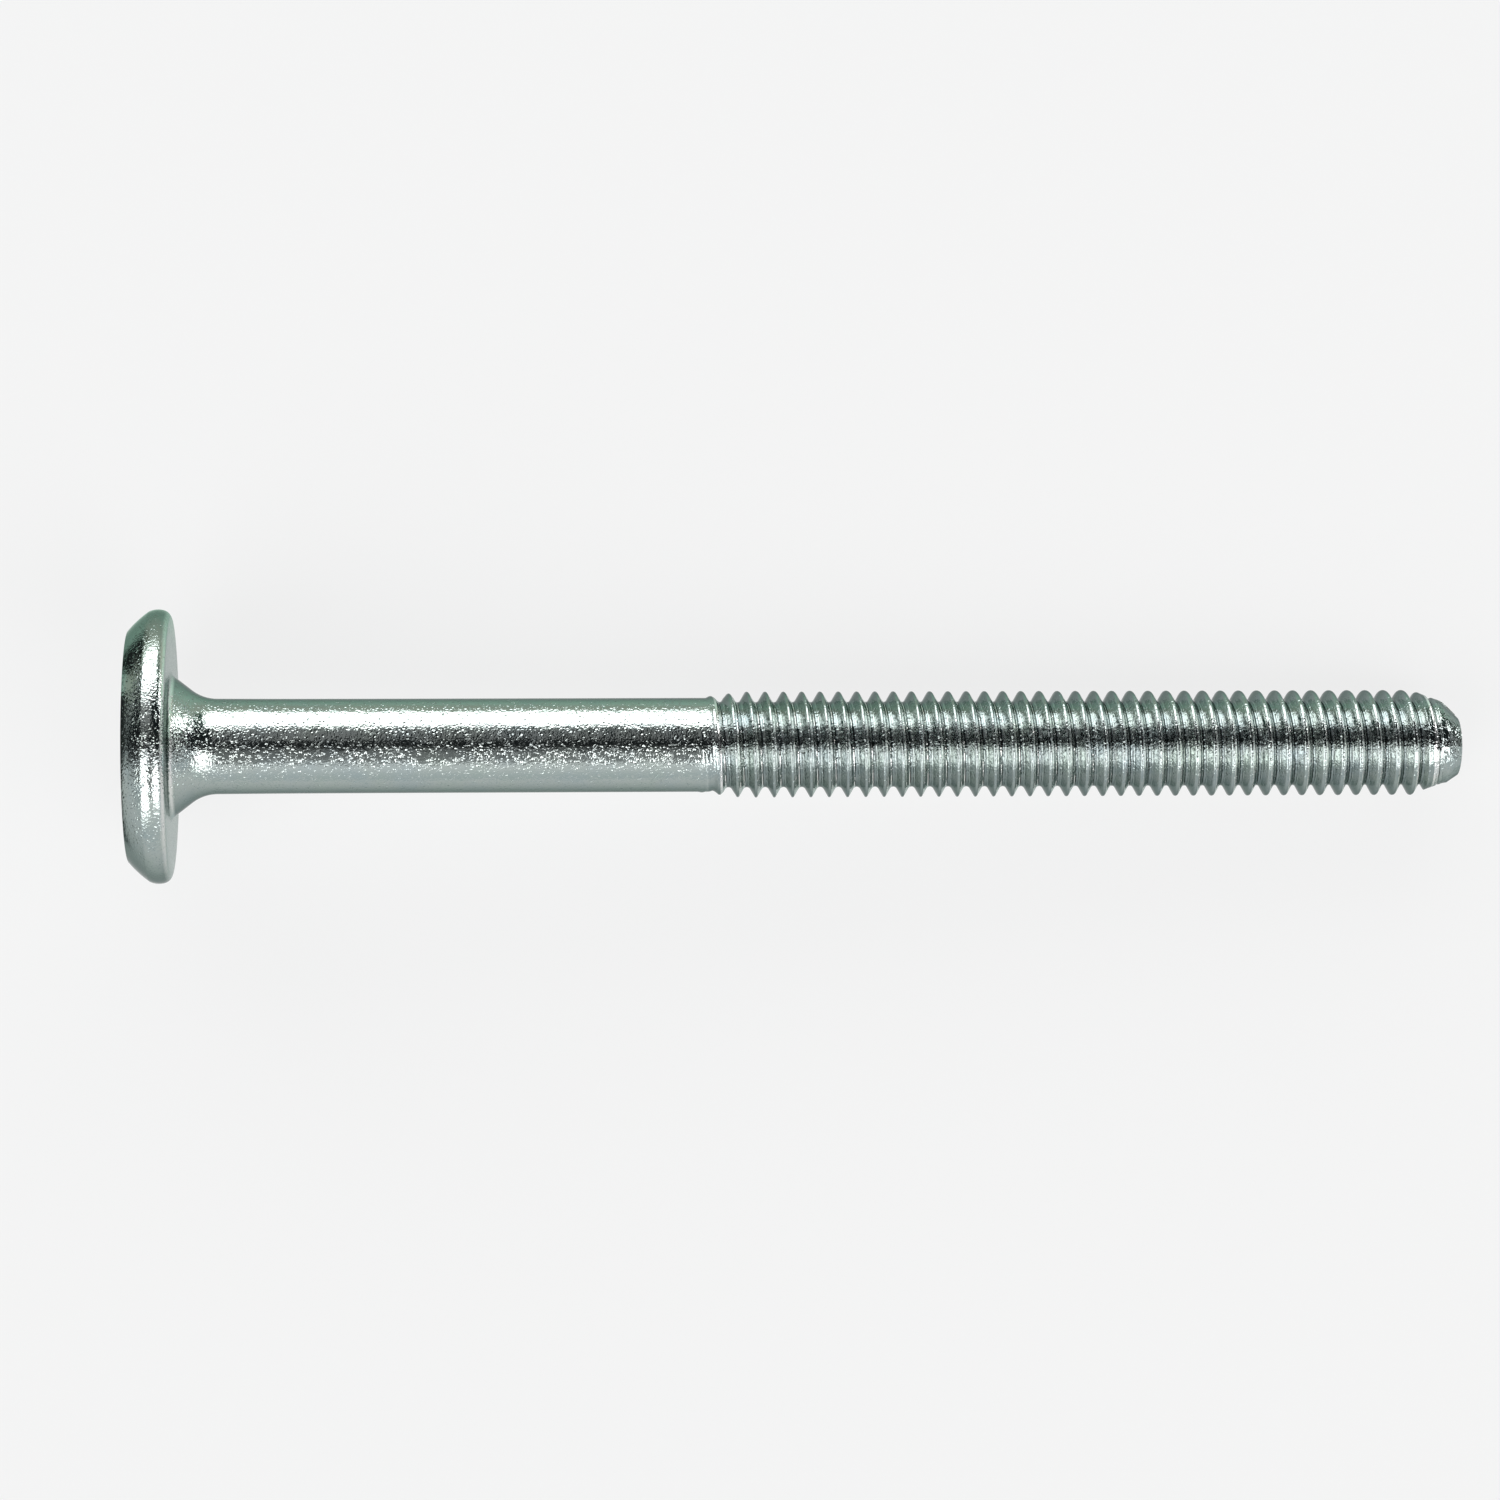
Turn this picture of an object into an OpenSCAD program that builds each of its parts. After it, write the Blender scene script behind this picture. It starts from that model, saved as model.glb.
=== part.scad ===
// Low head socket cap screw, metric M6, lying at rest on its head rim and thread end.
// All sizes are in millimetres. The screw is drawn along its axis, then laid down by its own geometry.

/* [Head] */
// Diameter over the rounded rim
head_diameter = 14.8; // [13:0.1:18]
// Thickness from the front flat to the bearing face
head_thickness = 2.3; // [2:0.1:4]
// Diameter of the front flat, inside the bevel
front_diameter = 12.6; // [10:0.1:13]
// Radius of the rounded rim
rim_radius = 0.75; // [0.6:0.05:0.9]
// Distance from the bearing face to the widest point of the rim
rim_depth = 0.68; // [0.4:0.02:0.8]
// Turn of the rim, from straight forward, at which the bevel meets it, in degrees
bevel_meet_angle = 55; // [45:1:70]

/* [Hex socket] */
// Width across the flats of the socket
socket_across_flats = 4; // [3:0.5:5]
// Depth of the flats below the front flat
socket_depth = 2.8; // [2:0.1:3.2]
// Diameter of the lead-in bevel at the socket mouth
socket_mouth_diameter = 4.9; // [4.7:0.1:6.5]
// Half angle of the lead-in bevel, in degrees
socket_mouth_angle = 45; // [30:5:60]
// Diameter of the drilled point at the socket bottom
drill_diameter = 3.7; // [2.8:0.1:4.6]
// Half angle of the drilled point, in degrees
drill_angle = 60; // [55:1:70]

/* [Neck and shank] */
// Diameter of the flare where it leaves the bearing face
flare_diameter = 7.8; // [7:0.1:9]
// Half angle of the flare, in degrees
flare_angle = 38; // [30:1:45]
// Radius that blends the flare into the shank
neck_radius = 2.2; // [1:0.1:3]
// Diameter of the plain shank
shank_diameter = 5.1; // [4.6:0.05:5.6]

/* [Thread and point] */
// Length from the bearing face to the end
length_under_head = 70; // [30:1:120]
// Length of the thread, run-out and point included
thread_length = 41.3; // [20:0.1:60]
// Major diameter of the thread
thread_diameter = 5.8; // [5.75:0.01:6]
// Length of the thread's run-out cone at the shank
runout_length = 1.4; // [0.5:0.1:3]
// Length of the tapered point, end edge left out
point_length = 1.8; // [1:0.1:3]
// Diameter where the taper meets the end edge
point_diameter = 4.3; // [3.8:0.1:4.8]
// Diameter of the flat end
end_diameter = 3.3; // [2:0.1:4]
// Length of the bevelled end edge
end_edge_length = 0.6; // [0.2:0.1:1]

/* [Hidden] */

HEX_SIDES = 6;
ROUND = 128;
OVERLAP = 0.2;
ZINC_PLATE = [0.76, 0.80, 0.79];

rim_centre = head_diameter / 2 - rim_radius;
bevel_end = [rim_centre + rim_radius * sin(bevel_meet_angle), -rim_depth - rim_radius * cos(bevel_meet_angle)];

flare_end_radius = shank_diameter / 2 + neck_radius * (1 - cos(flare_angle));
flare_end = (flare_diameter / 2 - flare_end_radius) / tan(flare_angle);
neck_end = flare_end + neck_radius * sin(flare_angle);

thread_start = length_under_head - thread_length;
full_thread_start = thread_start + runout_length;
taper_end = length_under_head - end_edge_length;
taper_start = taper_end - point_length;

socket_corner_radius = socket_across_flats / 2 / cos(180 / HEX_SIDES);
socket_floor = -head_thickness + socket_depth;
mouth_depth = socket_mouth_diameter / 2 / tan(socket_mouth_angle);
drill_depth = drill_diameter / 2 / tan(drill_angle);

// The rest: a floor line that passes the first full crest of the point and touches the rim.
rim_reach = taper_start + rim_depth;
rim_rise = rim_centre - thread_diameter / 2;
rest_tilt = atan2(rim_rise, rim_reach) + asin(rim_radius / norm([rim_reach, rim_rise]));
rest_height = taper_start * sin(rest_tilt) + thread_diameter / 2 * cos(rest_tilt);
far_left = -head_thickness * cos(rest_tilt) - front_diameter / 2 * sin(rest_tilt);
far_right = length_under_head * cos(rest_tilt) + end_diameter / 2 * sin(rest_tilt);

// Half section of the head: flat front, bevel, rounded rim and flat bearing face.
module head_section() {
    intersection() {
        union() {
            polygon([
                [0, -head_thickness],
                [front_diameter / 2, -head_thickness],
                bevel_end,
                [rim_centre, OVERLAP],
                [0, OVERLAP]
            ]);
            translate([rim_centre, -rim_depth]) circle(r = rim_radius, $fn = ROUND);
        }
        translate([0, -head_thickness]) square([head_diameter, head_thickness]);
    }
}

// Half section of the neck: a conical flare that a fillet blends into the shank.
module neck_section() {
    difference() {
        polygon([
            [0, -OVERLAP],
            [flare_diameter / 2, -OVERLAP],
            [flare_diameter / 2, 0],
            [flare_end_radius, flare_end],
            [flare_end_radius + neck_radius / 2, flare_end],
            [flare_end_radius + neck_radius / 2, neck_end],
            [0, neck_end]
        ]);
        translate([shank_diameter / 2 + neck_radius, neck_end]) circle(r = neck_radius, $fn = ROUND);
    }
}

// The plain shank and the thread's outside form, as one turned body.
module stem() {
    cylinder(d = shank_diameter, h = full_thread_start, $fn = ROUND);
    translate([0, 0, thread_start])
        cylinder(d1 = shank_diameter, d2 = thread_diameter, h = runout_length, $fn = ROUND);
    translate([0, 0, full_thread_start])
        cylinder(d = thread_diameter, h = taper_start - full_thread_start, $fn = ROUND);
    translate([0, 0, taper_start])
        cylinder(d1 = thread_diameter, d2 = point_diameter, h = point_length, $fn = ROUND);
    translate([0, 0, taper_end])
        cylinder(d1 = point_diameter, d2 = end_diameter, h = end_edge_length, $fn = ROUND);
}

// Hexagon socket with a lead-in bevel and a drilled point at its bottom.
module socket() {
    translate([0, 0, -head_thickness - OVERLAP])
        cylinder(r = socket_corner_radius, h = socket_depth + OVERLAP, $fn = HEX_SIDES);
    translate([0, 0, -head_thickness])
        cylinder(d1 = socket_mouth_diameter, d2 = 0, h = mouth_depth, $fn = ROUND);
    translate([0, 0, socket_floor])
        cylinder(d1 = drill_diameter, d2 = 0, h = drill_depth, $fn = ROUND);
}

module cap_screw() {
    color(ZINC_PLATE)
        translate([-(far_left + far_right) / 2, 0, rest_height])
            rotate([0, 90 + rest_tilt, 0])
                difference() {
                    union() {
                        rotate_extrude($fn = ROUND) head_section();
                        rotate_extrude($fn = ROUND) neck_section();
                        stem();
                    }
                    socket();
                }
}

cap_screw();
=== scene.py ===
import math

import bmesh
import bpy
import numpy as np
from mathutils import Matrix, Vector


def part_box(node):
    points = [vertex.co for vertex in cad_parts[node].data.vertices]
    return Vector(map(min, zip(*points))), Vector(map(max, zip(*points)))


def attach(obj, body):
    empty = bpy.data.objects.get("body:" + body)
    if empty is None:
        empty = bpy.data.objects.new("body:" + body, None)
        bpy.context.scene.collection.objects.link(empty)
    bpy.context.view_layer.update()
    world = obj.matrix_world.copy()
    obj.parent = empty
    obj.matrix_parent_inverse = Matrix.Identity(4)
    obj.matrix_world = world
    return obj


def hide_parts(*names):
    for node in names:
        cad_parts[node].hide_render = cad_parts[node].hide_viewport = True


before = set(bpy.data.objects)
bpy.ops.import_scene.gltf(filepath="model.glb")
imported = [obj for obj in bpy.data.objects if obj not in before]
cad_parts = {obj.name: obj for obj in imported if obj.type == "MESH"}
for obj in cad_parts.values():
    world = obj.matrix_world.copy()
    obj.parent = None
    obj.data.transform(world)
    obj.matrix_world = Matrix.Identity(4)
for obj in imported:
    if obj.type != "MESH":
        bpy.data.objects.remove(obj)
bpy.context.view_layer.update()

MM = 0.001
NODE = "cap_screw"

# ---------------------------------------------------------------- sizes, in millimetres
# They repeat the part's own sizes. Along the axis, a runs from the bearing face to the end.
HEAD_R, HEAD_H, FRONT_R = 7.4, 2.3, 6.3
RIM_R, RIM_DEPTH = 0.75, 0.68
SOCKET_FLAT, SOCKET_DEPTH = 2.0, 2.8    # the first is half the size across flats
MOUTH_R, DRILL_R, DRILL_TAN = 2.45, 1.85, math.tan(math.radians(60))
FLARE_R, FLARE_ANGLE, NECK_ARC = 3.9, 38, 2.2
FLARE_TAN = math.tan(math.radians(FLARE_ANGLE))
SHANK_R = 2.55
LENGTH, MAJOR_R = 70.0, 2.9
TAPER_START = 67.6

# What the visual adds to them, in millimetres too. SHEAR is a share of the radius.
RIM_TOP = 7.39                                     # a little inside the CAD's box
SWELL, SWELL_END, SWELL_FADE = 0.025, 2.4, 3.0     # the shank is thicker next to the neck
PITCH = 0.998                                      # 1 mm, as the photo spaces the crests
CREST_AT = 31.015                                  # a crest passes ang 0 here
CREST_R, ROOT_R = 2.878, 2.31
CREST_ARC, WORN_ARC = 0.085, 0.06                  # a crest's rounding, and what wear adds to it
WEAR_START, WEAR_OVER = 40, 22
THREAD_RISE, THREAD_RISE_OVER = 28.3, 2.4          # where crests grow out of the shank
GROOVE_SINK, GROOVE_SINK_OVER = 28.9, 0.75         # where roots sink into it
POINT_BLEND = 0.03                                 # softness of the thread's edge with the point
SHEAR, SHEAR_START, SHEAR_OVER = 0.13, 69.1, 0.9   # the nose is sheared off a little out of true
FOOT = 0.5                                         # fillet between bearing face and flare

# The point's outline: distance along the axis, and radius.
POINT_A = np.array([60.0, 67.2, 67.6, 67.9, 68.3, 68.6, 68.92, 69.27, 69.62, 69.80, 69.92,
                    69.98, 70.0])
POINT_E = np.array([3.20, 2.95, 2.86, 2.72, 2.56, 2.45, 2.35, 2.21, 2.03, 1.90, 1.80, 1.71, 1.62])

HALF_THREAD = math.radians(30)
COS_HALF_THREAD = 0.8660254

# ---------------------------------------------------------------- the rest, as the CAD lays it
rim_centre = HEAD_R - RIM_R
reach, rise = TAPER_START + RIM_DEPTH, rim_centre - MAJOR_R
TILT = math.atan2(rise, reach) + math.asin(RIM_R / math.hypot(reach, rise))
CT, ST = math.cos(TILT), math.sin(TILT)
low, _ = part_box(NODE)
Z0 = low.z / MM + TAPER_START * ST + MAJOR_R * CT
X0 = low.x / MM + HEAD_H * CT + FRONT_R * ST


def place(a, r, ang):
    """A point of the screw in metres: a along the axis, r off it, ang from +Y towards +Z."""
    s, c = np.sin(ang), np.cos(ang)
    return np.stack([X0 + a * CT + r * s * ST, r * c + 0 * a, Z0 - a * ST + r * s * CT], -1) * MM


def on_axis(a):
    """The point of the axis at a, in metres."""
    return place(np.array(a), np.array(0.0), np.array(0.0))


# ---------------------------------------------------------------- thread form
def smooth(x):
    x = np.clip(x, 0, 1)
    return x * x * (3 - 2 * x)


def thread_radius(u, a):
    """Radius of the full thread at phase u, 0 at the crest and 0.5 at the root."""
    crest_arc = CREST_ARC + WORN_ARC * smooth((a - WEAR_START) / WEAR_OVER)
    root_arc = COS_HALF_THREAD * PITCH - (CREST_R - ROOT_R) - crest_arc
    x = np.abs((u + 0.5) % 1.0 - 0.5) * PITCH
    flank = CREST_R + crest_arc - x / math.tan(HALF_THREAD)
    crest = CREST_R - crest_arc + np.sqrt(np.maximum(crest_arc ** 2 - x ** 2, 0))
    y = PITCH / 2 - x
    root = ROOT_R + root_arc - np.sqrt(np.maximum(root_arc ** 2 - y ** 2, 0))
    return np.where(x < crest_arc * COS_HALF_THREAD, crest,
                    np.where(y < root_arc * COS_HALF_THREAD, root, flank))


def shank_radius(a):
    return SHANK_R + SWELL * np.exp(-np.maximum(a - SWELL_END, 0) / SWELL_FADE)


def point_radius(a, ang):
    """The point's outline, with its sheared nose."""
    shear = SHEAR * smooth((a - SHEAR_START) / SHEAR_OVER)
    return np.interp(a, POINT_A, POINT_E) * (1 - shear * np.cos(ang))


def stem_radius(a, ang):
    """Radius of the shank, thread and point at a, ang."""
    u = (a - CREST_AT) / PITCH - ang / (2 * math.pi)
    full = thread_radius(u, a)
    base = shank_radius(a)
    up = np.clip((a - THREAD_RISE) / THREAD_RISE_OVER, 0, 1)
    down = smooth((a - GROOVE_SINK) / GROOVE_SINK_OVER)
    r = base + np.maximum(full - base, 0) * up - np.maximum(base - full, 0) * down
    tip = point_radius(a, ang)
    h = np.clip(0.5 + 0.5 * (tip - r) / POINT_BLEND, 0, 1)
    return tip * (1 - h) + r * h - POINT_BLEND * h * (1 - h)


# ---------------------------------------------------------------- mesh
AROUND = 96
ANGLES = np.arange(AROUND) * 2 * math.pi / AROUND
verts, faces = [], []


def ring(a, r):
    """Adds one ring of points and returns their indices."""
    a = np.broadcast_to(np.asarray(a, float), ANGLES.shape)
    r = np.broadcast_to(np.asarray(r, float), ANGLES.shape)
    start = len(verts)
    verts.extend(place(a, r, ANGLES).tolist())
    return list(range(start, start + AROUND))


def bridge(p, q):
    """Faces between ring p and the next ring towards the tip, q, seen from outside."""
    for i in range(AROUND):
        j = (i + 1) % AROUND
        faces.append((p[i], q[i], q[j], p[j]))


def arc(ca, cr, rad, t0, t1, n):
    """Points (a, r) on an arc; t turns its normal from radial towards the tip, in degrees."""
    return [(ca + rad * math.sin(math.radians(t)), cr + rad * math.cos(math.radians(t)))
            for t in np.linspace(t0, t1, n)]


# socket, from its deepest point out to the front face
HEX_CORNER = math.pi / 3
CONE_RING = 0.9                      # one ring halfway up the drill cone
CONE_EDGE, WALL_EDGE = 0.03, 0.06    # small breaks of the socket's inner edges
hex_r = SOCKET_FLAT / np.cos((ANGLES + HEX_CORNER / 2) % HEX_CORNER - HEX_CORNER / 2)
floor_a = -HEAD_H + SOCKET_DEPTH
drill_tip = len(verts)
verts.append(on_axis(floor_a + DRILL_R / DRILL_TAN).tolist())
socket = [ring(floor_a + (DRILL_R - CONE_RING) / DRILL_TAN, CONE_RING),
          ring(floor_a + 0.02, DRILL_R - CONE_EDGE), ring(floor_a, DRILL_R),
          ring(floor_a, hex_r - WALL_EDGE), ring(floor_a - WALL_EDGE, hex_r),
          ring(-HEAD_H + MOUTH_R - hex_r, hex_r), ring(-HEAD_H, MOUTH_R)]
for i in range(AROUND):
    faces.append((drill_tip, socket[0][i], socket[0][(i + 1) % AROUND]))

# head: front face and its edge, bevel, rim in three arcs, bearing face
FRONT_RINGS, SEAT_RINGS = (3.3, 4.4, 5.5, 6.05), (6.92, 6.0, 5.0, 4.4)
EDGE_ARC, EDGE_INSET = 0.12, 0.11
# the bevel's points, as distance behind the front face and radius
BEVEL = ((0.30, 6.568), (0.50, 6.762), (0.70, 6.942), (0.90, 7.108), (1.07, 7.233))
LEAD_ARC, LEAD_BEHIND = 1.20, 1.645            # the rim's front, then its top, then its back
CROWN_ARC, CROWN_A = 1.30, -0.70
HEEL_ARC, HEEL_A, HEEL_CENTRE = 0.52, -0.511, 6.846
section = [(-HEAD_H, r) for r in FRONT_RINGS]
section += arc(-HEAD_H + EDGE_ARC, FRONT_R - EDGE_INSET, EDGE_ARC, -90, -48, 5)
section += [(-HEAD_H + a, r) for a, r in BEVEL]
section += arc(-HEAD_H + LEAD_BEHIND, RIM_TOP - LEAD_ARC, LEAD_ARC, -27, 0, 8)
section += arc(CROWN_A, RIM_TOP - CROWN_ARC, CROWN_ARC, 3, 12, 4)
section += arc(HEEL_A, HEEL_CENTRE, HEEL_ARC, 14, 75, 9)
section += [(0, r) for r in SEAT_RINGS]
# foot fillet, flare, neck and shank
foot_r = FLARE_R + FOOT / math.tan(math.radians((90 + FLARE_ANGLE) / 2))
section += [(FOOT * (1 - math.cos(t)), foot_r - FOOT * math.sin(t))
            for t in np.radians(np.linspace(0, 90 - FLARE_ANGLE, 6))]
flare_end_r = SHANK_R + SWELL + NECK_ARC * (1 - math.cos(math.radians(FLARE_ANGLE)))
flare_end_a = (FLARE_R - flare_end_r) / FLARE_TAN
section += [(flare_end_a * 0.5, FLARE_R - flare_end_a * 0.5 * FLARE_TAN)]
neck_end = flare_end_a + NECK_ARC * math.sin(math.radians(FLARE_ANGLE))
section += [(neck_end - NECK_ARC * math.sin(t), SHANK_R + SWELL + NECK_ARC * (1 - math.cos(t)))
            for t in np.radians(np.linspace(FLARE_ANGLE, 0, 12))]
SHANK_START, SHANK_END = neck_end + 0.6, 26.9
section += [(a, float(shank_radius(a))) for a in np.linspace(SHANK_START, SHANK_END, 14)]
rings = socket + [ring(a, r) for a, r in section]
for p, q in zip(rings, rings[1:]):
    bridge(p, q)

# the thread: one strip of profile points that winds along the screw
STRIP_START, STRIP_TURNS = 27.2, 42
PHASES = np.array([0.0, 0.03, 0.055, 0.08, 0.115, 0.16, 0.24, 0.325, 0.36, 0.40, 0.45,
                   0.50, 0.55, 0.60, 0.64, 0.675, 0.76, 0.84, 0.885, 0.92, 0.945, 0.97])
M = len(PHASES)    # points across one pitch
steps = AROUND * STRIP_TURNS
idx = np.arange(steps + 1)
theta = idx * 2 * math.pi / AROUND
# the strip's own phase 0 follows the crest
first = CREST_AT - PITCH * math.ceil(CREST_AT - STRIP_START)
strip_a = first + (theta / (2 * math.pi))[:, None] * PITCH + PHASES[None, :] * PITCH
strip_ang = np.broadcast_to(theta[:, None], strip_a.shape)
start = len(verts)
verts.extend(place(strip_a, stem_radius(strip_a, strip_ang), strip_ang).reshape(-1, 3).tolist())
end_start = len(verts)


def strip(i, m):
    """Index of the point i steps round at profile point m, which may run into the next turn."""
    if m == M:
        i, m = i + AROUND, 0
    if i <= steps:
        return start + i * M + m
    return end_start + (i - steps - 1)


# the last turn's open edge
last = np.arange(steps + 1, steps + AROUND + 1)
last_a = first + (last / AROUND) * PITCH
last_ang = last * 2 * math.pi / AROUND
verts.extend(place(last_a, stem_radius(last_a, last_ang), last_ang).tolist())

strip_face = len(faces)
for i in range(steps):
    for m in range(M):
        faces.append((strip(i, m), strip(i, m + 1), strip(i + 1, m + 1), strip(i + 1, m)))
# join the shank's last ring to the strip's first edge
p = rings[-1]
for i in range(AROUND - 1):
    faces.append((p[i], strip(i, 0), strip(i + 1, 0), p[i + 1]))
faces.append((p[AROUND - 1], strip(AROUND - 1, 0), strip(AROUND, 0))
             + tuple(strip(0, m) for m in range(M - 1, -1, -1)) + (p[0],))
# join the strip's last edge to the flat end, whose rings shrink towards its middle
end_r = point_radius(np.array(LENGTH), ANGLES)
tip_rings = [ring(LENGTH, end_r * share) for share in (1.0, 0.92, 0.5)]
q = tip_rings[0]
for i in range(1, AROUND):
    faces.append((strip(steps + i, 0), q[i], q[(i + 1) % AROUND], strip(steps + i + 1, 0)))
faces.append((strip(steps, 0),) + tuple(strip(steps, m) for m in range(1, M))
             + (strip(steps + AROUND, 0), q[0], q[1], strip(steps + 1, 0)))
for p, q in zip(tip_rings, tip_rings[1:]):
    bridge(p, q)
nose_tip = len(verts)
verts.append(on_axis(LENGTH).tolist())
for i in range(AROUND):
    faces.append((tip_rings[-1][i], nose_tip, tip_rings[-1][(i + 1) % AROUND]))

SHARP_ANGLE = 24
mesh = bpy.data.meshes.new("screw_body")
mesh.from_pydata(verts, [], faces)
mesh.update()
# a map that follows the thread: u across one pitch, v along the helix in turns
layer = mesh.uv_layers.new(name="helix")
uv = np.zeros((len(mesh.loops), 2))
u_of = np.append(PHASES, 1.0)
corner_u = np.stack([u_of[:-1], u_of[1:], u_of[1:], u_of[:-1]], 1).reshape(-1)
corner_v = np.tile(np.array([0, 0, 1, 1]) / AROUND, M * steps)
loop0 = mesh.polygons[strip_face].loop_start
loop1 = loop0 + steps * M * 4
uv[loop0:loop1, 0] = np.tile(corner_u, steps)
uv[loop0:loop1, 1] = np.repeat(idx[:-1] / AROUND, M * 4) + corner_v
layer.data.foreach_set("uv", uv.reshape(-1))
bm = bmesh.new()
bm.from_mesh(mesh)
bmesh.ops.recalc_face_normals(bm, faces=bm.faces)
bm.to_mesh(mesh)
bm.free()
mesh.shade_smooth()
mesh.set_sharp_from_angle(angle=math.radians(SHARP_ANGLE))
screw = bpy.data.objects.new("screw_body", mesh)
bpy.context.scene.collection.objects.link(screw)


# ---------------------------------------------------------------- materials
class Graph:
    """Short hand for a node tree."""

    def __init__(self, tree):
        self.tree = tree
        tree.nodes.clear()

    def node(self, kind, inputs=(), **values):
        n = self.tree.nodes.new("ShaderNode" + kind)
        for key, v in values.items():
            setattr(n, key, v)
        for key, v in dict(inputs).items():
            self.set(n.inputs[key], v)
        return n

    def set(self, socket, v):
        if isinstance(v, bpy.types.NodeSocket):
            self.tree.links.new(v, socket)
        else:
            socket.default_value = v

    def math(self, op, a, b=0.0, c=0.0):
        return self.node("Math", {0: a, 1: b, 2: c}, operation=op).outputs[0]

    def times(self, a, b):
        return self.math("MULTIPLY", a, b)

    def step(self, v, lo, hi, to_lo=0.0, to_hi=1.0):
        return self.node("MapRange", {"Value": v, "From Min": lo, "From Max": hi,
                                      "To Min": to_lo, "To Max": to_hi},
                         interpolation_type="SMOOTHSTEP").outputs[0]

    def span(self, v, first, second):
        """1 inside a range, 0 outside; each edge is (outside, inside)."""
        return self.times(self.step(v, *first), self.step(v, *second))

    def ramp(self, v, stops):
        n = self.node("ValToRGB", {0: v})
        el = n.color_ramp.elements
        for _ in stops[2:]:
            el.new(0.5)
        for k, (at, _) in enumerate(stops):
            el[k].position = at
        for k, (_, col) in enumerate(stops):
            el[k].color = col + (1,)
        return n.outputs[0]

    def mix(self, cover, below, above, blend="MIX"):
        n = self.node("Mix", data_type="RGBA", blend_type=blend)
        for k, v in ((0, cover), (6, below), (7, above)):
            self.set(n.inputs[k], v)
        return n.outputs[2]

    def scaled(self, vec, x, y, z, turn=None):
        if turn is not None:
            vec = self.node("Mapping", {"Vector": vec, "Rotation": turn}).outputs[0]
        return self.node("Mapping", {"Vector": vec, "Scale": (x, y, z)}).outputs[0]

    def noise(self, vec, scale=1.0, detail=2.0, rough=0.5):
        return self.node("TexNoise", {"Vector": vec, "Scale": scale, "Detail": detail,
                                      "Roughness": rough}).outputs[0]


# depths of the relief, in millimetres
GRAIN, PIT, NICK, DRAWN, LUMP, ROLLED = 0.018, 0.022, 0.008, 0.0012, 0.13, 0.021
FORGED_MORE, FRONT_LESS = 0.35, 0.6      # changes to the grain, as shares of it
FLANK_PAINTED_LIGHT, SEAT_RUB = 0.85, 0.6          # how much of the film is taken off: on the flank that faces the point as painted light, and on the bearing face
# stretches along the axis, each edge as (outside, inside)
THREAD_IN, THREAD_OUT = (28.6, 29.6), (69.0, 68.2)
FORGED_IN, FORGED_OUT = (5.5, 2.0), (-2.29, -2.15)
FRONT_IN = (-1.55, -1.85)
SEAT_IN, SEAT_OUT = (-0.30, -0.05), (0.30, 0.12)
POINT_IN = (67.9, 68.7)
THREAD_SHADE_TINT = (0.575, 0.60, 0.615, 1)      # painted shade over the thread's roots, crests and one flank
FILM_TINT = (0.53, 0.585, 0.575, 1)
EDGE_TINT = (0.44, 0.54, 0.51, 1)


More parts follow.
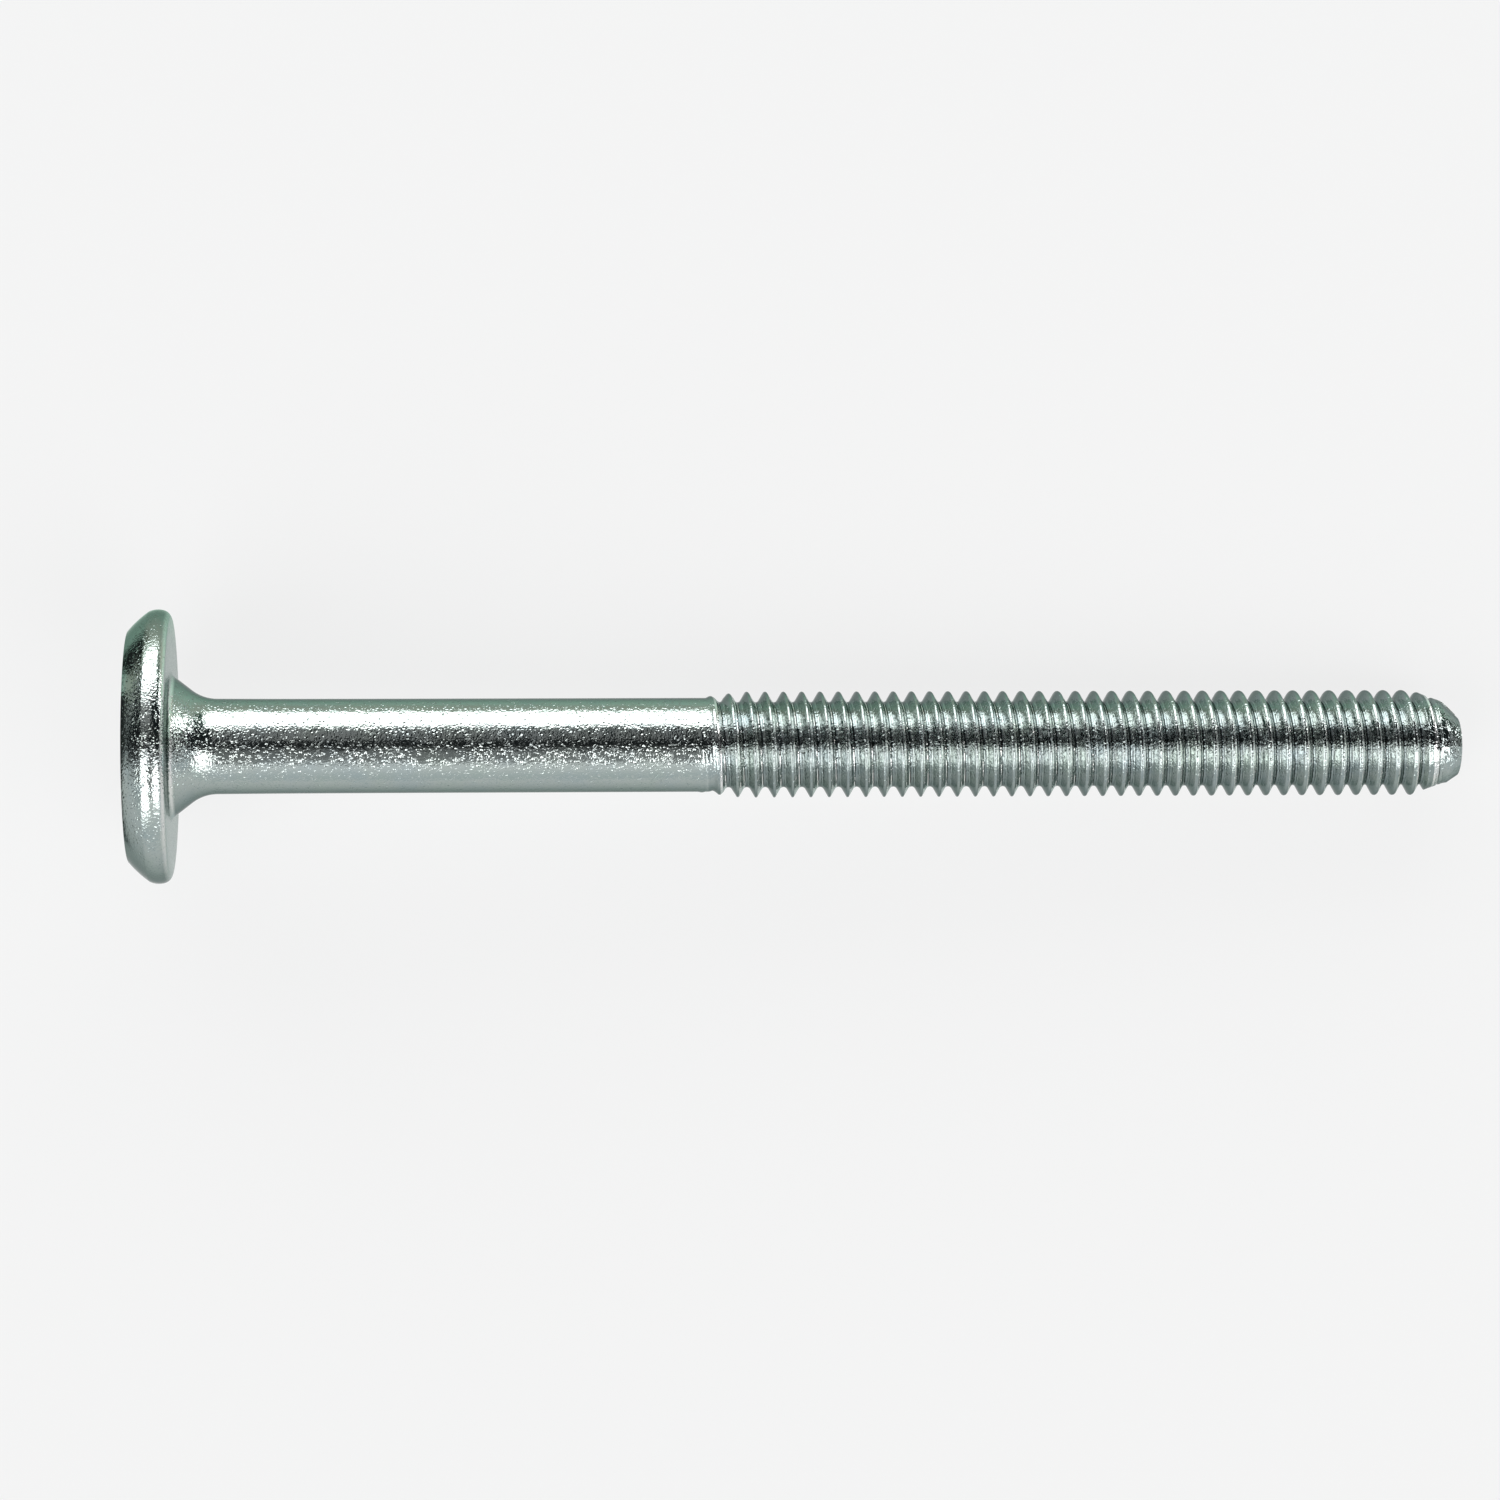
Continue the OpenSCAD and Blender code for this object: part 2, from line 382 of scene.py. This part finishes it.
def zinc():
    mat = bpy.data.materials.new("bright_zinc")
    mat.use_nodes = True
    g = Graph(mat.node_tree)
    mm = g.scaled(g.node("TexCoord").outputs["Object"], 1000, 1000, 1000)
    helix = g.node("UVMap", uv_map="helix").outputs[0]
    thread = g.node("SeparateXYZ", {0: helix})
    u, v = thread.outputs[0], thread.outputs[1]

    # distance along the screw from its bearing face
    along = g.node("VectorMath", {0: mm, 1: (CT, 0, -ST)}, operation="DOT_PRODUCT")
    a = g.math("SUBTRACT", along.outputs["Value"], X0 * CT - Z0 * ST)

    # plating grain: soft facets a tenth of a millimetre across, with pits among them
    grain = g.noise(mm, 6.5, 1.0, 0.8)
    patch = g.step(g.noise(mm, 0.8, 2.0), 0.35, 0.65, 0.55, 1.3)
    pits = 0.0
    for scale, turn in ((5.0, 0.4), (8.5, 1.1)):
        cells = g.node("TexVoronoi", {"Vector": g.scaled(mm, 1, 1, 1, (turn, turn, 0)),
                                      "Scale": scale, "Randomness": 1.0})
        chance = g.node("SeparateColor", {0: cells.outputs["Color"]}).outputs[0]
        depth = g.times(g.step(chance, 0.25, 1.0), 5.0 / scale)
        pit = g.times(g.step(cells.outputs["Distance"], 0.50, 0.0), depth)
        pits = g.math("ADD", pits, pit)
    # short nicks from handling
    nick_a = g.noise(g.scaled(mm, 2.1, 10.0, 4.0, (0, 0, -0.80)), 1.0, 0.0)
    nick_b = g.noise(g.scaled(mm, 2.4, 9.0, 6.0, (0.3, 0, -0.15)), 1.0, 0.0)
    nicks = g.math("ADD", g.step(nick_a, 0.78, 0.82), g.step(nick_b, 0.78, 0.82))
    # drawing lines along the shank
    drawn = g.noise(g.scaled(mm, 0.25, 7.0, 7.0), 1.0, 2.0)

    # rolling marks that follow the thread, as grooves and a few raised lines on its flanks
    window = g.times(g.span(u, (0.0, 0.06), (1.0, 0.94)), g.step(v, 1.0, 1.9))
    groove = g.noise(g.scaled(helix, 11.0, 2.5, 1.0), 1.0, 1.0)
    breaks = g.step(g.noise(g.scaled(helix, 3.0, 14.0, 1.0), 1.0, 1.0), 0.35, 0.65, 0.4, 1.5)
    lines = 0.0
    for at, wide, tall in ((0.20, 0.032, 1.0), (0.385, 0.032, 1.0), (0.60, 0.028, 0.7)):
        d = g.math("DIVIDE", g.math("SUBTRACT", u, at), wide)
        line = g.math("EXPONENT", g.times(g.times(d, d), -1.0))
        lines = g.math("MULTIPLY_ADD", line, tall, lines)
    rolled = g.times(window, g.math("MULTIPLY_ADD", groove, 0.6, g.times(lines, breaks)))

    height = g.times(g.times(grain, patch), GRAIN)
    height = g.math("MULTIPLY_ADD", pits, -PIT, height)
    # rougher on the forged rim and neck, smoother on the bevel and front, lumpy on the point
    forged = g.span(a, FORGED_IN, FORGED_OUT)
    height = g.times(height, g.math("MULTIPLY_ADD", forged, FORGED_MORE, 1.0))
    front = g.step(a, *FRONT_IN)
    height = g.times(height, g.math("MULTIPLY_ADD", front, -FRONT_LESS, 1.0))
    lumps = g.times(g.noise(mm, 1.5, 2.0, 0.6), g.step(a, *POINT_IN))
    height = g.math("MULTIPLY_ADD", lumps, LUMP, height)
    height = g.math("MULTIPLY_ADD", nicks, -NICK, height)
    height = g.math("MULTIPLY_ADD", drawn, DRAWN, height)
    height = g.math("MULTIPLY_ADD", rolled, ROLLED, height)
    bump = g.node("Bump", {"Height": height, "Strength": 1.0, "Distance": 0.001})

    # the plated film, thinner on the flank that faces the point, as painted light that lightens
    # that flank, and on the bearing face
    on_thread = g.span(a, THREAD_IN, THREAD_OUT)
    flank_light = g.times(g.span(u, (0.04, 0.12), (0.46, 0.38)), on_thread)
    film = g.math("MULTIPLY_ADD", flank_light, -FLANK_PAINTED_LIGHT, 1.0)
    seat = g.span(a, SEAT_IN, SEAT_OUT)
    film = g.math("MULTIPLY_ADD", seat, -SEAT_RUB, film)
    # painted shade: the colour is darker in the thread's root, and half as much on its crest and
    # other flank
    from_root = g.math("ABSOLUTE", g.math("SUBTRACT", u, 0.5))
    thread_shade = g.math("MAXIMUM", g.step(from_root, 0.12, 0.05),
                  g.times(g.step(from_root, 0.40, 0.46), 0.5))
    thread_shade = g.math("MAXIMUM", thread_shade, g.times(g.step(u, 0.5, 0.6), 0.5))
    tone = g.noise(mm, 0.55, 3.0, 0.6)
    color = g.ramp(tone, [(0.30, (0.93, 0.93, 0.95)), (0.50, (0.97, 0.95, 0.94)),
                          (0.70, (0.96, 0.96, 0.92))])
    color = g.mix(g.times(thread_shade, on_thread), color, THREAD_SHADE_TINT, "MULTIPLY")
    rough = g.step(g.noise(mm, 1.4, 3.0, 0.65), 0.35, 0.7, 0.08, 0.16)
    bsdf = g.node("BsdfPrincipled", {"Base Color": color, "Metallic": 1.0, "Roughness": rough,
                                     "Specular Tint": EDGE_TINT, "Coat Weight": film,
                                     "Coat IOR": 1.07, "Coat Roughness": 0.1,
                                     "Coat Tint": FILM_TINT, "Normal": bump.outputs[0]})
    g.node("OutputMaterial", {0: bsdf.outputs[0]})
    return mat


screw.data.materials.append(zinc())
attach(screw, "root")
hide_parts(NODE)

# ---------------------------------------------------------------- floor
FLOOR_GLOW = 0.88                   # the glow's share where it is seen
FLOOR_HALF = 900
PAPER = [(0.3, (0.855, 0.86, 0.86)), (0.7, (0.865, 0.87, 0.87))]
GLOW = (0.89, 0.89, 0.89, 1)
FAR = (0.78, 0.82, 0.83, 1)         # away from the screw
PAINTED_NEAR_REFLECTION = (0.655, 0.888, 0.75, 1)    # painted reflection tint, next to the screw
PAINTED_PAST_REFLECTION = (0.56, 0.62, 0.525, 1)    # painted reflection tint, past that
# painted dark reflections past the head and past the tip, hidden from the camera
HEAD_PAINTED_DARK = (0.03, 0.034, 0.033, 1)
TIP_PAINTED_DARK = (0.02, 0.03, 0.028, 1)
HEAD_X = -35.0                      # the head's painted dark reflection leaves a bright wedge that opens from here

floor_mesh = bpy.data.meshes.new("floor")
corners = ((-FLOOR_HALF, -FLOOR_HALF), (FLOOR_HALF, -FLOOR_HALF),
           (FLOOR_HALF, FLOOR_HALF), (-FLOOR_HALF, FLOOR_HALF))
floor_mesh.from_pydata([(x * MM, y * MM, 0) for x, y in corners], [], [(0, 1, 2, 3)])
floor = bpy.data.objects.new("floor", floor_mesh)
floor.location.z = low.z
bpy.context.scene.collection.objects.link(floor)
mat = bpy.data.materials.new("pale_floor")
mat.use_nodes = True
g = Graph(mat.node_tree)
floor_mm = g.scaled(g.node("TexCoord").outputs["Object"], 1000, 1000, 1000)
at = g.node("SeparateXYZ", {0: floor_mm})
far = g.step(g.node("VectorMath", {0: floor_mm}, operation="LENGTH").outputs["Value"],
             70.0, 240.0)
path = g.node("LightPath")
unseen = g.math("SUBTRACT", 1.0, path.outputs["Is Camera Ray"])


def zone(x0, x1, y0, y1):
    """A soft-edged part of the floor, hidden from the camera, whose colour paints reflections;
    each edge is (outside, inside).
    """
    return g.times(unseen, g.times(g.span(at.outputs[0], x0, x1), g.span(at.outputs[1], y0, y1)))


# painted dark reflections past the head, with a bright wedge left open, and past the tip
slope = g.math("DIVIDE", at.outputs[1], g.math("SUBTRACT", HEAD_X, at.outputs[0]))
wedge = g.span(slope, (0.41, 0.47), (0.68, 0.60))
head_painted_dark = g.times(zone((-44, -48), (-420, -400), (-14, -12.5), (60, 40)),
                    g.math("SUBTRACT", 1.0, wedge))
tip_painted_dark = zone((43, 50), (420, 400), (-4, 1), (60, 40))
# painted reflection tints behind the screw, seen only in reflections
behind = zone((-300, -280), (300, 280), (5, 9), (600, 500))
further = zone((-300, -280), (300, 280), (13, 22), (600, 500))


def floor_color(near):
    """Greys with distance; painted reflections darken it behind the screw and past its ends,
    where the camera doesn't see them.
    """
    for cover, tint in ((far, FAR), (behind, PAINTED_NEAR_REFLECTION), (further, PAINTED_PAST_REFLECTION),
                        (head_painted_dark, HEAD_PAINTED_DARK), (tip_painted_dark, TIP_PAINTED_DARK)):
        near = g.mix(cover, near, tint)
    return near


paper = g.ramp(g.noise(floor_mm, 0.8, 3.0), PAPER)
diffuse = g.node("BsdfDiffuse", {"Color": floor_color(paper)})
glow = g.node("Emission", {"Color": floor_color(GLOW)})
mirrored = g.math("ADD", path.outputs["Is Glossy Ray"], path.outputs["Is Transmission Ray"])
seen = g.math("ADD", path.outputs["Is Camera Ray"], mirrored)
mix = g.node("MixShader", {0: g.times(seen, FLOOR_GLOW), 1: diffuse.outputs[0],
                           2: glow.outputs[0]})
g.node("OutputMaterial", {0: mix.outputs[0]})
floor_mesh.materials.append(mat)

# ---------------------------------------------------------------- world
# The room, in degrees from straight up: east to the tip and north up the picture.
world = bpy.data.worlds.new("studio")
bpy.context.scene.world = world
world.use_nodes = True
g = Graph(world.node_tree)
way = g.node("SeparateXYZ", {0: g.node("TexCoord").outputs["Generated"]})
flat = g.math("SQRT", g.math("ADD", g.times(way.outputs[0], way.outputs[0]),
                             g.times(way.outputs[1], way.outputs[1])))
zenith = g.times(g.math("ARCTAN2", flat, way.outputs[2]), 180 / math.pi)
turn = g.math("DIVIDE", zenith, g.math("MAXIMUM", flat, 1e-5))
east = g.times(turn, way.outputs[0])
north = g.times(turn, way.outputs[1])


def panel(x0, x1, y0, y1, soft, level):
    """A soft-edged light between x0..x1 east and y0..y1 north."""
    e = g.span(east, (x0 - soft, x0 + soft), (x1 + soft, x1 - soft))
    n = g.span(north, (y0 - soft, y0 + soft), (y1 + soft, y1 - soft))
    return g.times(g.times(e, n), level)


# the room's colour by degrees north
STOPS = [(-100, (0.62, 0.68, 0.68)), (-75, (0.76, 0.80, 0.80)), (-48, (0.86, 0.89, 0.89)),
         (-41, (0.36, 0.38, 0.38)), (-30, (0.24, 0.25, 0.25)), (-12, (0.18, 0.19, 0.19)),
         (-5, (0.045, 0.047, 0.047)), (1, (0.012, 0.014, 0.015)), (36, (0.014, 0.019, 0.021)),
         (46, (0.04, 0.06, 0.055)), (60, (0.04, 0.10, 0.075)), (100, (0.03, 0.10, 0.07))]
NORTH_END = 100.0
WALL, WALL_SHARE = (0.70, 0.76, 0.77, 1), 0.72

room = g.ramp(g.node("MapRange", {"Value": north, "From Min": -NORTH_END,
                                  "From Max": NORTH_END}).outputs[0],
              [((d + NORTH_END) / (2 * NORTH_END), c) for d, c in STOPS])
# The main light behind the screw ends a little below the horizon.
total = g.times(panel(-58, 33, 50, 92, 3, 3.7), g.step(zenith, 97, 91))
for sides in ((-5, 24, 88, 104, 3, 3.2), (-62, -14, 38, 50, 4, 2.3), (67, 92, 31, 80, 3, 6.0),
              (-66, -14, -56, -6, 4, 2.8), (15, 60, -48, -14, 5, 3.5), (-62, 7, 13, 46, 3, 0.26),
              (80, 98, -22, 22, 4, 0.6)):
    total = g.math("ADD", total, panel(*sides))
# A pale wall stands low on the south side, and reaches a little further north in the far west.
edge = g.math("MULTIPLY_ADD", g.step(east, -72, -80), -4.0, north)
wall = g.times(g.times(g.step(zenith, 66, 76), g.step(edge, -17.5, -21.5)), WALL_SHARE)
lights = g.node("CombineColor", {0: total, 1: total, 2: total}).outputs[0]
sky = g.mix(1.0, lights, g.mix(wall, room, WALL), "ADD")
g.node("OutputWorld", {0: g.node("Background", {"Color": sky}).outputs[0]})

# ---------------------------------------------------------------- camera
# in millimetres: the aim along the screw, the height above it, and the shift down the picture
AIM_A, DISTANCE, AIM_DOWN = 31.20, 243.2, 0.29
LENS, SENSOR, ROLL = 107.5, 36, -0.2    # the last in degrees
cam_data = bpy.data.cameras.new("camera")
camera = bpy.data.objects.new("camera", cam_data)
bpy.context.scene.collection.objects.link(camera)
bpy.context.scene.camera = camera
cam_data.lens = LENS
cam_data.sensor_width = SENSOR
cam_data.clip_start = 0.01
aim = on_axis(AIM_A)
camera.location = (aim[0], aim[1] - AIM_DOWN * MM, aim[2] + DISTANCE * MM)
camera.rotation_euler = (0, 0, math.radians(ROLL))

bpy.context.scene.view_settings.view_transform = "Standard"
